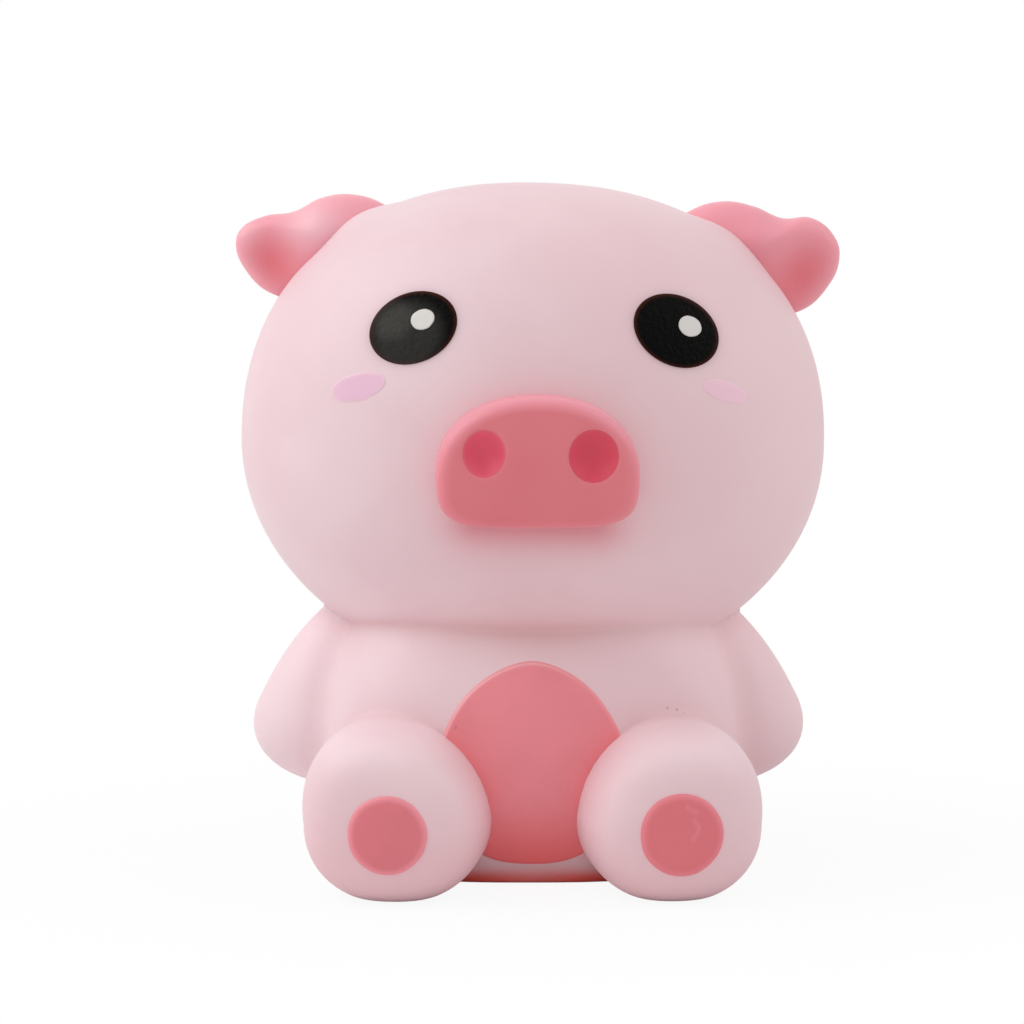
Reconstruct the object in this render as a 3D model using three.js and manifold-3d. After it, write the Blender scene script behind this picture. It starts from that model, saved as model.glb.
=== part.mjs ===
// A seated piglet squishy of slow-rising foam: pale skin, coral sprayed areas, dark eyes.
// Millimetres and degrees, +Z up. The toy faces -Y, so its own left side is +X.
// The origin is the centre of the flat underside that it sits on.
import * as THREE from "three";
import { mergeVertices } from "three/addons/utils/BufferGeometryUtils.js";
import Module from "manifold-3d";

const wasm = await Module();
wasm.setup();

// Body: a pear that is flat underneath
const bodyWidth = 69;
const bodyDepth = 64;
const bodyGirthHeight = 20.4; // floor to its fullest line
const bodyRise = 34; // fullest line to the top, which the head hides
const bodyDrop = 29; // how deep the round would go if the floor did not flatten it
const bodyTaper = 0.03; // slimmer by this share at the top, fuller below
const bodyPlanPower = 2.8; // how boxy it is as seen from above

// Head: wide and low, fullest at the cheeks
const headWidth = 94.8;
const headDepth = 76;
const headRise = 41.8; // fullest line to the crown
const headDrop = 38.5; // fullest line to the underside, which the body hides
const neckSink = 24.3; // how deep the underside sinks into the top of the body
const headTurn = 0.7; // the head sits a little askew on the body, towards its own left
const headLean = 1.4;

// Ears: thick folded flaps with a thumb dent near the tip
const leftEarReach = 15.2; // seat on the head out to the tip
const rightEarReach = 14.8;
const leftEarLobeRise = 8.05; // seat up to the top of the fold
const rightEarLobeRise = 7.8;
const leftEarDipRise = 5.55; // seat up to the dip between the fold and the tip
const rightEarDipRise = 4.75;
const leftEarTipRise = 5.65;
const rightEarTipRise = 3.9;
const leftEarFootDrop = 9.7;
const rightEarFootDrop = 8.8;
const earThickness = 11;
const earFullness = 2.6; // 2 is a lens, more is flatter in front with a rounder edge
const earSeatAngle = 46; // up from the head's fullest line
const earSetBack = 3.5; // middle of the flap behind the middle of the head
const earRootSink = 13; // how far the flap's outline runs on inside the head
const earFold = 9.6; // seat in towards the crown to where the fold leaves the head
const earDentRadius = 7;
const earDentDepth = 2.2;
const earDentOut = 0.6; // share of the reach
const earDentDown = 0.27; // share of the foot drop

// Snout: a flat-bottomed disc with a rolled rim
const snoutWidth = 31.6;
const snoutRise = 12.25;
const snoutDrop = 8.75;
const snoutHeight = -0.8; // above the head's fullest line
const snoutShift = 0.3; // towards the toy's right, with its nostrils
const snoutTilt = 1.5; // its left end up
const snoutStandOut = 8;
const snoutRim = 1.8;
const snoutRimSteps = 4;
const snoutTopPower = 2.15; // 2 is an arc, more is boxier
const snoutBottomPower = 4.2;
const leftNostrilWidth = 7.8;
const leftNostrilTall = 8.3;
const rightNostrilWidth = 6.7;
const rightNostrilTall = 7.5;
const nostrilSpread = 17; // middle to middle
const nostrilHeight = 3.4; // above the snout's fullest line
const nostrilDepth = 1.4;
const nostrilFloor = 1.5; // thickness of the coloured floor

// Eyes, their glints and the blush
const eyeLong = 14.35;
const eyeShort = 10.45;
const eyeTilt = 25.5; // inner ends high
const eyeSpread = 41.4;
const eyeHeight = 20.8;
const maskShift = 0.6; // the paint mask of eyes and blush lies this far towards the toy's left
const maskTilt = 0.55; // its left end up
const eyeProud = 0.3;
const eyeInlay = 1.6;
const glintLong = 4;
const glintShort = 3.15;
const leftGlintAside = 2.15; // both glints lie towards the toy's left
const leftGlintRise = 1;
const rightGlintAside = 1.4;
const rightGlintRise = 1.35;
const glintProud = 0.45;
const glintInlay = 0.5;
const leftBlushLong = 7.6;
const rightBlushLong = 8.8;
const blushShort = 3.9;
const blushTilt = 20;
const blushSpread = 57.8;
const blushHeight = 11.3;
const blushProud = 0.15;
const blushInlay = 1;

// Belly patch
const patchWidth = 29.8;
const patchTall = 32.7;
const patchHeight = 20.15; // floor to its middle
const patchShift = 0.2; // towards the toy's right
const patchTopPower = 1.8; // 2 is an arc, less is more pointed
const patchBottomPower = 2.8;
const patchProud = 0.4;
const patchInlay = 1.4;

// Arms: pods that hang from the shoulders and swell towards the hand
const armWidth = 21;
const armDepth = 21;
const armRise = 22; // fullest part up to the shoulder end
const armDrop = 10.9; // fullest part down to the hand end
const armTaper = 0.14;
const armTilt = 21.5; // hand end outwards
const leftArmStandOut = 9.2; // how far the hand stands out past the body's side
const rightArmStandOut = 9.9;
const armHeight = 24;
const armSetForward = 3;

// Legs: blunt stubs that point forward, flat underneath, with a raised disc on each sole
const legWidth = 29.2;
const legRise = 15.5;
const legDrop = 12.8; // more than the axis height, so the floor flattens it
const legAxisHeight = 11.9;
const legSpread = 42; // axis to axis
const legSplay = 6; // toes outwards
const legLean = 0.13; // its upper half stands outwards by this share of its height
const legFront = 19;
const legBack = 16;
const legReach = 15.5; // soles in front of the belly
const legPower = 2.15; // how boxy it is as seen from the front
const solePower = 3.9; // 2 is a round end, more is flatter
const leftPadWidth = 13.1;
const rightPadWidth = 12.5;
const padBelowAxis = 0.15;
const padProud = 0.8;
const padInlay = 1.6;

// Tail: a short corkscrew on the back
const tailLoopRadius = 3.3;
const tailThickness = 5;
const tailTipThickness = 3;
const tailPitch = 7;
const tailTurns = 1.2;
const tailHeight = 17.4; // floor to the middle of the loop
const tailRootSink = 2.5;

// Facets
const headDetail = 9;
const bodyDetail = 7;
const limbDetail = 5;
const outlineSteps = 28;
const earEdgeSteps = 32;
const pillowLevels = 8;
const dentSides = 24;
const dentLevels = 16;
const tailSteps = 24;
const tailSides = 10;

// Clearances
const seatGap = 0.3; // left round every seated or cut piece
const cutReach = 200; // cutters run out past the toy by this much

const radians = THREE.MathUtils.degToRad;

const skin = { color: 0xecd3d9, roughness: 0.62, metalness: 0 };
const coral = { color: 0xe58a97, roughness: 0.55, metalness: 0 };
const coralPaint = { color: 0xd9727e, roughness: 0.5, metalness: 0 };
const nostrilPaint = { color: 0xc8505f, roughness: 0.55, metalness: 0 };
const eyePaint = { color: 0x231b19, roughness: 0.35, metalness: 0 };
const glintPaint = { color: 0xe6e2df, roughness: 0.4, metalness: 0 };
const blushPaint = { color: 0xe9bfd5, roughness: 0.6, metalness: 0 };

const toy = new THREE.Group();
toy.name = "pig_squishy";

// A closed geometry as a solid that can be joined and cut.
function solidOf(geometry) {
  geometry.deleteAttribute("normal");
  geometry.deleteAttribute("uv");
  const merged = mergeVertices(geometry, 1e-4);
  const vertProperties = merged.attributes.position.array;
  const triVerts = new Uint32Array(merged.index.array);
  return new wasm.Manifold(new wasm.Mesh({ numProp: 3, vertProperties, triVerts }));
}

// A finished solid becomes a named mesh of the toy.
function addPiece(name, solid, finish) {
  const { vertProperties, triVerts } = solid.getMesh();
  const geometry = new THREE.BufferGeometry();
  geometry.setAttribute("position", new THREE.BufferAttribute(vertProperties, 3));
  geometry.setIndex(new THREE.BufferAttribute(triVerts, 1));
  geometry.computeVertexNormals();
  const mesh = new THREE.Mesh(geometry, new THREE.MeshStandardMaterial(finish));
  mesh.name = name;
  toy.add(mesh);
}

const powerSum = (a, b, power) => (Math.abs(a) ** power + Math.abs(b) ** power) ** (1 / power);

// The skin of a foam form, in its own axes, in a direction from the middle of its fullest line. The powers
// say how boxy it is: 2 is an ellipsoid. The taper slims it upwards and fills it downwards. The lean pushes
// its back half aside.
function skinPoint(form, direction, grow) {
  const plan = powerSum(direction.x, direction.y, form.planPower);
  const upper = direction.z > 0;
  const scale = 1 / powerSum(plan, direction.z, upper ? form.risePower : form.dropPower);
  const height = direction.z * scale;
  const slim = 1 - form.taper * height;
  const depth = direction.y < 0 ? form.front : form.back;
  const back = direction.y * scale * slim * (depth + grow);
  return new THREE.Vector3(
    direction.x * scale * slim * (form.halfWidth + grow) + form.lean * Math.max(back, 0),
    back,
    height * ((upper ? form.rise : form.drop) + grow),
  );
}

// How far forward the skin of a form lies at a place on its front, in its own axes.
function frontAt(form, x, z) {
  const height = z / (z > 0 ? form.rise : form.drop);
  const slim = 1 - form.taper * height;
  const power = z > 0 ? form.risePower : form.dropPower;
  const plan = (1 - Math.abs(height) ** power) ** (1 / power);
  const across = Math.abs(x / (form.halfWidth * slim)) ** form.planPower;
  return -form.front * slim * (plan ** form.planPower - across) ** (1 / form.planPower);
}

function foamSolid(form, grow = 0) {
  const geometry = new THREE.IcosahedronGeometry(1, form.detail);
  const position = geometry.attributes.position;
  const direction = new THREE.Vector3();
  for (let i = 0; i < position.count; i += 1) {
    const point = skinPoint(form, direction.fromBufferAttribute(position, i), grow);
    position.setXYZ(i, point.x, point.y, point.z);
  }
  return solidOf(geometry.applyMatrix4(form.pose));
}

// The place and size of an oval area, as seen from the front of what carries it.
function oval(long, short, { tilt = 0, x = 0, z = 0, topPower = 2, bottomPower = 2 }) {
  return { halfWidth: long / 2, rise: short / 2, drop: short / 2, topPower, bottomPower, tilt, x, z };
}

// A closed outline by the same rule as the forms, with its own boxiness above and below its fullest line.
function roundOutline(place, grow = 0) {
  const middle = new THREE.Vector2(place.x, place.z);
  const points = [];
  for (let i = 0; i < outlineSteps; i += 1) {
    const angle = (2 * Math.PI * i) / outlineSteps;
    const across = Math.cos(angle);
    const up = Math.sin(angle);
    const scale = 1 / powerSum(across, up, up > 0 ? place.topPower : place.bottomPower);
    const point = new THREE.Vector2(
      across * scale * (place.halfWidth + grow),
      up * scale * ((up > 0 ? place.rise : place.drop) + grow),
    );
    points.push(point.add(middle).rotateAround(middle, radians(place.tilt)));
  }
  return new THREE.Shape(points);
}

// A column of an outline, drawn as seen from the front, from one depth forward to another.
function columnSolid(outline, from, to, pose) {
  const geometry = new THREE.ExtrudeGeometry(outline, { depth: from - to, bevelEnabled: false });
  return solidOf(geometry.rotateX(Math.PI / 2).translate(0, from, 0).applyMatrix4(pose));
}

// A coloured area on the front of a form: a thin plate that follows the skin, the pocket that it lies in,
// and the room that a neighbour must leave over it.
function colouredArea(form, place, proud, inlay) {
  const within = columnSolid(roundOutline(place), 0, -cutReach, form.facing);
  const around = columnSolid(roundOutline(place, seatGap), 0, -cutReach, form.facing);
  return {
    plate: within.intersect(foamSolid(form, proud)).subtract(foamSolid(form, -inlay)),
    pocket: around.subtract(foamSolid(form, -inlay - seatGap)),
    room: around.intersect(foamSolid(form, proud + seatGap)),
  };
}

// A swollen flap round a middle at the origin: an outline in the XZ plane, fullest in its middle, closed in
// front and behind. The outline runs anticlockwise as seen from the front.
function pillowSolid(edge, halfThickness, fullness, pose) {
  const points = [new THREE.Vector3(0, -halfThickness, 0)];
  for (let i = 1; i < pillowLevels; i += 1) {
    const angle = (Math.PI * i) / pillowLevels;
    const spread = Math.sin(angle) ** (2 / fullness);
    const y = -Math.sign(Math.cos(angle)) * halfThickness * Math.abs(Math.cos(angle)) ** (2 / fullness);
    points.push(...edge.map((point) => new THREE.Vector3(point.x * spread, y, point.z * spread)));
  }
  points.push(new THREE.Vector3(0, halfThickness, 0));
  const faces = [];
  const last = points.length - 1;
  edge.forEach((_, j) => {
    const next = (j + 1) % edge.length;
    faces.push(0, 1 + j, 1 + next);
    for (let ring = 1; ring + edge.length < last; ring += edge.length) {
      faces.push(ring + j, ring + edge.length + j, ring + next);
      faces.push(ring + next, ring + edge.length + j, ring + edge.length + next);
    }
    faces.push(last, last - edge.length + next, last - edge.length + j);
  });
  const geometry = new THREE.BufferGeometry().setFromPoints(points);
  geometry.setIndex(faces);
  return solidOf(geometry.applyMatrix4(pose));
}

const floorBlock = new THREE.BoxGeometry(cutReach, cutReach, cutReach);
const belowFloor = solidOf(floorBlock.translate(0, 0, -cutReach / 2));

// The forms, each with its place
const bodyPose = new THREE.Matrix4().makeTranslation(0, 0, bodyGirthHeight);
const bodyForm = {
  halfWidth: bodyWidth / 2,
  front: bodyDepth / 2,
  back: bodyDepth / 2,
  rise: bodyRise,
  drop: bodyDrop,
  planPower: bodyPlanPower,
  risePower: 2.3,
  dropPower: 2.4,
  taper: bodyTaper,
  lean: 0,
  detail: bodyDetail,
  pose: bodyPose,
  facing: bodyPose,
};

const bodyTop = bodyGirthHeight + bodyRise;
const headMiddle = bodyTop - neckSink + headDrop;
const headPose = new THREE.Matrix4()
  .makeTranslation(0, 0, bodyTop)
  .multiply(new THREE.Matrix4().makeRotationY(radians(headLean)))
  .multiply(new THREE.Matrix4().makeRotationZ(radians(headTurn)))
  .multiply(new THREE.Matrix4().makeTranslation(0, 0, headMiddle - bodyTop));
const headForm = {
  halfWidth: headWidth / 2,
  front: headDepth / 2,
  back: headDepth / 2,
  rise: headRise,
  drop: headDrop,
  planPower: 2.2,
  risePower: 2.25,
  dropPower: 2,
  taper: 0,
  lean: 0,
  detail: headDetail,
  pose: headPose,
  facing: headPose,
};

// A leg's own upright axis points forward, so its front half lies underneath, its back half is the upper one
// and its rise ends at the sole.
function legForm(side) {
  const facing = new THREE.Matrix4()
    .makeTranslation((side * legSpread) / 2, legFront - bodyDepth / 2 - legReach, legAxisHeight)
    .multiply(new THREE.Matrix4().makeRotationZ(radians(side * legSplay)));
  return {
    halfWidth: legWidth / 2,
    front: legDrop,
    back: legRise,
    rise: legFront,
    drop: legBack,
    planPower: legPower,
    risePower: solePower,
    dropPower: 2,
    taper: 0,
    lean: side * legLean,
    detail: limbDetail,
    pose: facing.clone().multiply(new THREE.Matrix4().makeRotationX(Math.PI / 2)),
    facing,
  };
}

function armForm(side, standOut) {
  const pose = new THREE.Matrix4()
    .makeTranslation(side * (bodyWidth / 2 + standOut - armWidth / 2), -armSetForward, armHeight)
    .multiply(new THREE.Matrix4().makeRotationY(radians(-side * armTilt)));
  return {
    halfWidth: armWidth / 2,
    front: armDepth / 2,
    back: armDepth / 2,
    rise: armRise,
    drop: armDrop,
    planPower: 2.1,
    risePower: 2,
    dropPower: 2.2,
    taper: armTaper,
    lean: 0,
    detail: limbDetail,
    pose,
    facing: pose,
  };
}

const sides = [
  {
    name: "left",
    side: 1,
    armStandOut: leftArmStandOut,
    glintAside: leftGlintAside,
    glintRise: leftGlintRise,
    padWidth: leftPadWidth,
    blushLong: leftBlushLong,
    nostrilWidth: leftNostrilWidth,
    nostrilTall: leftNostrilTall,
    earReach: leftEarReach,
    earLobeRise: leftEarLobeRise,
    earDipRise: leftEarDipRise,
    earTipRise: leftEarTipRise,
    earFootDrop: leftEarFootDrop,
  },
  {
    name: "right",
    side: -1,
    armStandOut: rightArmStandOut,
    glintAside: rightGlintAside,
    glintRise: rightGlintRise,
    padWidth: rightPadWidth,
    blushLong: rightBlushLong,
    nostrilWidth: rightNostrilWidth,
    nostrilTall: rightNostrilTall,
    earReach: rightEarReach,
    earLobeRise: rightEarLobeRise,
    earDipRise: rightEarDipRise,
    earTipRise: rightEarTipRise,
    earFootDrop: rightEarFootDrop,
  },
];
const headCut = foamSolid(headForm, seatGap);
const bodyCut = foamSolid(bodyForm, seatGap);

// Body, with the belly patch let into its front
const patchPlace = oval(patchWidth, patchTall, {
  x: -patchShift,
  z: patchHeight - bodyGirthHeight,
  topPower: patchTopPower,
  bottomPower: patchBottomPower,
});
const patch = colouredArea(bodyForm, patchPlace, patchProud, patchInlay);
addPiece("body", foamSolid(bodyForm).subtract(belowFloor).subtract(headCut).subtract(patch.pocket), skin);
addPiece("belly_patch", patch.plate, coralPaint);

// Legs with their sole pads, then the arms, which give way to everything larger
let legCuts = belowFloor;
for (const { name, side, padWidth } of sides) {
  const form = legForm(side);
  const pad = colouredArea(form, oval(padWidth, padWidth, { z: -padBelowAxis }), padProud, padInlay);
  const leg = foamSolid(form).subtract(belowFloor).subtract(bodyCut).subtract(patch.room);
  addPiece(`${name}_leg`, leg.subtract(pad.pocket), skin);
  addPiece(`${name}_foot_pad`, pad.plate, coralPaint);
  legCuts = legCuts.add(foamSolid(form, seatGap));
}
for (const { name, side, armStandOut } of sides) {
  const arm = foamSolid(armForm(side, armStandOut)).subtract(bodyCut).subtract(headCut).subtract(legCuts);
  addPiece(`${name}_arm`, arm, skin);
}

// Eyes, glints and blush, each let into what carries it
let headSolid = foamSolid(headForm);
const maskSlope = Math.tan(radians(maskTilt));
for (const { name, side, glintAside, glintRise, blushLong } of sides) {
  const eyeOut = (side * eyeSpread) / 2;
  const blushOut = (side * blushSpread) / 2;
  const eyePlace = { tilt: -side * eyeTilt, x: maskShift + eyeOut, z: eyeHeight + eyeOut * maskSlope };
  const glintPlace = { tilt: eyePlace.tilt, x: eyePlace.x + glintAside, z: eyePlace.z + glintRise };
  const blushRise = blushHeight + blushOut * maskSlope;
  const blushPlace = { tilt: -side * blushTilt, x: maskShift + blushOut, z: blushRise };
  const eye = colouredArea(headForm, oval(eyeLong, eyeShort, eyePlace), eyeProud, eyeInlay);
  const glint = colouredArea(headForm, oval(glintLong, glintShort, glintPlace), glintProud, glintInlay);
  const blush = colouredArea(headForm, oval(blushLong, blushShort, blushPlace), blushProud, blushInlay);
  addPiece(`${name}_eye`, eye.plate.subtract(glint.pocket), eyePaint);
  addPiece(`${name}_eye_glint`, glint.plate, glintPaint);
  addPiece(`${name}_blush`, blush.plate, blushPaint);
  headSolid = headSolid.subtract(eye.pocket).subtract(blush.pocket);
}
addPiece("head", headSolid, skin);

// Snout: the outline is extruded with a rolled rim and stops at the face, and the nostrils dent its front
const snoutPlace = {
  halfWidth: snoutWidth / 2 - snoutRim,
  rise: snoutRise - snoutRim,
  drop: snoutDrop - snoutRim,
  topPower: snoutTopPower,
  bottomPower: snoutBottomPower,
  tilt: snoutTilt,
  x: -snoutShift,
  z: snoutHeight,
};
const snoutFace = frontAt(headForm, 0, snoutHeight) - snoutStandOut;
const snoutBlock = new THREE.ExtrudeGeometry(roundOutline(snoutPlace), {
  depth: -snoutFace - snoutRim,
  bevelThickness: snoutRim,
  bevelSize: snoutRim,
  bevelSegments: snoutRimSteps,
});
snoutBlock.rotateX(Math.PI / 2).applyMatrix4(headPose);
let snout = solidOf(snoutBlock).subtract(headCut);
for (const { name, side, nostrilWidth, nostrilTall } of sides) {
  const middle = { x: (side * nostrilSpread) / 2 - snoutShift, z: snoutHeight + nostrilHeight };
  const place = oval(nostrilWidth, nostrilTall, middle);
  const top = snoutFace + nostrilDepth;
  const floor = top + nostrilFloor;
  snout = snout.subtract(columnSolid(roundOutline(place, seatGap), floor + seatGap, -cutReach, headPose));
  addPiece(`${name}_nostril`, columnSolid(roundOutline(place), floor, top, headPose), nostrilPaint);
}
addPiece("snout", snout, coral);

// Ears: a rounded flap from the fold on top, out round the tip and down to the foot, dented near the tip
const earLine = radians(earSeatAngle);
const earSeat = skinPoint(headForm, new THREE.Vector3(Math.cos(earLine), 0, Math.sin(earLine)), 0);
for (const { name, side, earReach, earLobeRise, earDipRise, earTipRise, earFootDrop } of sides) {
  // out from the seat and up from it, as shares of the reach, the fold, the lobe, the tip and the foot
  const outline = [
    [-earRootSink, earLobeRise * 0.4],
    [-earFold, earLobeRise * 0.78],
    [-earFold * 0.45, earLobeRise],
    [earReach * 0.06, earLobeRise * 0.92],
    [earReach * 0.38, earDipRise],
    [earReach * 0.7, earTipRise],
    [earReach * 0.95, earTipRise * 0.45],
    [earReach, -earFootDrop * 0.05],
    [earReach * 0.9, -earFootDrop * 0.52],
    [earReach * 0.56, -earFootDrop],
    [-earFold * 0.2, -earFootDrop],
  ];
  const knots = outline.map(([x, z]) => new THREE.Vector3(side * x, 0, z));
  const edge = new THREE.CatmullRomCurve3(knots, true).getPoints(earEdgeSteps).slice(0, -1);
  const seat = headPose
    .clone()
    .multiply(new THREE.Matrix4().makeTranslation(side * earSeat.x, earSetBack, earSeat.z));
  const flap = pillowSolid(side > 0 ? edge.reverse() : edge, earThickness / 2, earFullness, seat);
  const dent = new THREE.SphereGeometry(earDentRadius, dentSides, dentLevels).translate(
    side * earReach * earDentOut,
    earDentDepth - earDentRadius - earThickness / 2,
    -earFootDrop * earDentDown,
  );
  const ear = flap.subtract(solidOf(dent.applyMatrix4(seat))).subtract(headCut);
  addPiece(`${name}_ear`, ear, coral);
}

// Tail: a corkscrew tube that thins to its tip, rooted in the back
const tailStart = bodyDepth / 2 - tailRootSink;
const tailPath = new THREE.CatmullRomCurve3(
  Array.from({ length: tailSteps + 1 }, (_, i) => {
    const turn = (tailTurns * i) / tailSteps;
    const angle = 2 * Math.PI * turn;
    return new THREE.Vector3(
      tailLoopRadius * Math.sin(angle),
      tailStart + tailPitch * turn,
      tailHeight + tailLoopRadius * Math.cos(angle),
    );
  }),
);
const tailFrames = tailPath.computeFrenetFrames(tailSteps, false);
const tailRings = [];
for (let i = 0; i <= tailSteps; i += 1) {
  const share = i / tailSteps;
  const radius = THREE.MathUtils.lerp(tailThickness, tailTipThickness, share) / 2;
  for (let j = 0; j < tailSides; j += 1) {
    const angle = (2 * Math.PI * j) / tailSides;
    tailRings.push(
      tailPath
        .getPointAt(share)
        .addScaledVector(tailFrames.normals[i], radius * Math.cos(angle))
        .addScaledVector(tailFrames.binormals[i], radius * Math.sin(angle)),
    );
  }
}
const tailFaces = [];
const lastRing = tailSteps * tailSides;
for (let j = 0; j < tailSides; j += 1) {
  const next = (j + 1) % tailSides;
  for (let ring = 0; ring < lastRing; ring += tailSides) {
    tailFaces.push(ring + j, ring + next, ring + tailSides + j);
    tailFaces.push(ring + next, ring + tailSides + next, ring + tailSides + j);
  }
  if (j > 0 && next > 0) {
    tailFaces.push(0, next, j);
    tailFaces.push(lastRing, lastRing + j, lastRing + next);
  }
}
const tailGeometry = new THREE.BufferGeometry().setFromPoints(tailRings);
tailGeometry.setIndex(tailFaces);
addPiece("tail", solidOf(tailGeometry).subtract(bodyCut), coral);

export default toy;
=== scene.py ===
# A seated piglet squishy: one casting of slow-rising foam. Ears, snout and tail are sprayed coral, and eyes,
# blush, nostrils, belly patch and soles are laid on as films of paint.
# Sizes are in millimetres and degrees, as in the part's source, and turn into metres where a mesh is made.
from math import radians

import bmesh
import bpy
import numpy as np
from mathutils import Matrix, Vector


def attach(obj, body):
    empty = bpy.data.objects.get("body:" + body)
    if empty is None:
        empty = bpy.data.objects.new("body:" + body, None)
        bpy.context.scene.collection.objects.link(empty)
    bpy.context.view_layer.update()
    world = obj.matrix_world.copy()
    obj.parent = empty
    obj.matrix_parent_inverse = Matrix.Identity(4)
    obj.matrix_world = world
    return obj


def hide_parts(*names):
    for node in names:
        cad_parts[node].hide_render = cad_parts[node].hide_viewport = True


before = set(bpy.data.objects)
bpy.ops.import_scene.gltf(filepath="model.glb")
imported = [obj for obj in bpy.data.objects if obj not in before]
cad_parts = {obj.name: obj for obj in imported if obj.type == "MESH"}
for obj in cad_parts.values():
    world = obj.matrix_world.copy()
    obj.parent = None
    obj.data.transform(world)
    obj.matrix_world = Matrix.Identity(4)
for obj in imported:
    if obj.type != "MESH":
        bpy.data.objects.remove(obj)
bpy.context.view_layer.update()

MM = 0.001

# The casting. Body, head, arms and legs leave the mould as one piece of foam with a thin skin of its own.
# The cutter that made the mould left a soft crease wherever one form runs into the next.


class Form:
    """One swelling form of the mould. Its powers say how boxy it is: 2 is an ellipsoid. Its taper slims it
    upwards, and its lean pushes its back half aside."""

    def __init__(self, place, half_width, front, back, rise, drop, powers, taper=0.0, lean=0.0):
        self.turn = np.array(place.to_3x3())
        self.middle = np.array(place.translation)
        self.sizes = half_width, front, back, rise, drop
        self.powers = powers
        self.taper = taper
        self.lean = lean

    def skin(self, directions):
        """The points of the skin in these directions, which are in the form's own axes."""
        half_width, front, back, rise, drop = self.sizes
        plan_power, rise_power, drop_power = self.powers
        x, y, z = directions.T
        plan = (np.abs(x) ** plan_power + np.abs(y) ** plan_power) ** (1 / plan_power)
        power = np.where(z > 0, rise_power, drop_power)
        scale = (plan**power + np.abs(z) ** power) ** (-1 / power)
        slim = 1 - self.taper * z * scale
        along = y * scale * slim * np.where(y < 0, front, back)
        across = x * scale * slim * half_width + self.lean * along.clip(0)
        up = z * scale * np.where(z > 0, rise, drop)
        return np.stack([across, along, up], axis=1) @ self.turn.T + self.middle

    def clearance(self, points):
        """About how far outside the skin each point lies."""
        half_width, front, back, rise, drop = self.sizes
        plan_power, rise_power, drop_power = self.powers
        local = (points - self.middle) @ self.turn
        x, y, z = local.T
        height = z / np.where(z > 0, rise, drop)
        slim = 1 - self.taper * height
        across = np.abs((x - self.lean * y.clip(0)) / (half_width * slim)) ** plan_power
        along = np.abs(y / (np.where(y < 0, front, back) * slim)) ** plan_power
        plan = (across + along) ** (1 / plan_power)
        power = np.where(z > 0, rise_power, drop_power)
        share = (plan**power + np.abs(height) ** power) ** (1 / power)
        return np.linalg.norm(local, axis=1) * (1 - 1 / np.maximum(share, 1e-3))


def placed(x, y, z):
    return Matrix.Translation((x, y, z))


def turned(angle, axis):
    return Matrix.Rotation(radians(angle), 4, axis)


body_width = 69
body_depth = 64
body_girth_height = 20.4
body_rise = 34
body_drop = 29
body_powers = 2.8, 2.3, 2.4
body_taper = 0.03
body_place = placed(0, 0, body_girth_height)
body_top = body_girth_height + body_rise

head_width = 94.8
head_depth = 76
head_rise = 41.8
head_drop = 38.5
head_powers = 2.2, 2.25, 2
neck_sink = 24.3
head_lean = 1.4
head_turn = 0.7
head_place = placed(0, 0, body_top) @ turned(head_lean, "Y") @ turned(head_turn, "Z")
head_place = head_place @ placed(0, 0, head_drop - neck_sink)

body_halves = body_width / 2, body_depth / 2, body_depth / 2
head_halves = head_width / 2, head_depth / 2, head_depth / 2
forms = {
    "body": Form(body_place, *body_halves, body_rise, body_drop, body_powers, body_taper),
    "head": Form(head_place, *head_halves, head_rise, head_drop, head_powers),
}

arm_width = 21
arm_rise = 22
arm_drop = 10.9
arm_powers = 2.1, 2, 2.2
arm_taper = 0.14
arm_tilt = 21.5
arm_height = 24
arm_set_forward = 3
# how far each hand stands out past the body's side
for side, name, stand_out in (1, "left_arm", 9.2), (-1, "right_arm", 9.9):
    arm_out = side * (body_width / 2 + stand_out - arm_width / 2)
    arm_place = placed(arm_out, -arm_set_forward, arm_height) @ turned(-side * arm_tilt, "Y")
    forms[name] = Form(arm_place, *[arm_width / 2] * 3, arm_rise, arm_drop, arm_powers, arm_taper)

# a leg's own upright axis points forward, to its sole
leg_spread = 42
leg_splay = 6
leg_front = 19
leg_back = 16
leg_rise = 15.5
leg_drop = 12.8
leg_powers = 2.15, 3.9, 2
leg_reach = 15.5
leg_axis_height = 11.9
sole_facing = {}
for side, name, leg_width, leg_lean in (1, "left_leg", 28.6, 0.09), (-1, "right_leg", 29.2, 0.13):
    root = placed(side * leg_spread / 2, leg_front - body_depth / 2 - leg_reach, leg_axis_height)
    sole_facing[name] = root @ turned(side * leg_splay, "Z")
    leg_place = sole_facing[name] @ turned(90, "X")
    leg_sizes = leg_width / 2, leg_drop, leg_rise, leg_front, leg_back
    forms[name] = Form(leg_place, *leg_sizes, leg_powers, lean=side * leg_lean)

# the head swells a little towards the root of each ear
ear_mounds = []
mound_size = 12
for side, angle, height in (1, 49, 1.1), (-1, 51.5, 1.2):
    outward = np.array([side * np.cos(radians(angle)), 0, np.sin(radians(angle))])
    mound_middle = forms["head"].skin(outward[None])[0] - forms["head"].turn @ outward * (mound_size - height)
    ear_mounds.append(Form(placed(*mound_middle), *[mound_size] * 5, (2, 2, 2)))

mound_crease = 1.5
arm_crease = 3
neck_crease = 0.9
thigh_crease = 1.4
patch_crease = 0.4
base_roll = 0.9


def soften(near, far, crease):
    """The lesser of two clearances, with a soft crease of this size where they are alike."""
    share = np.clip(0.5 + 0.5 * (far - near) / crease, 0, 1)
    return far * (1 - share) + near * share - crease * share * (1 - share)


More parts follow.
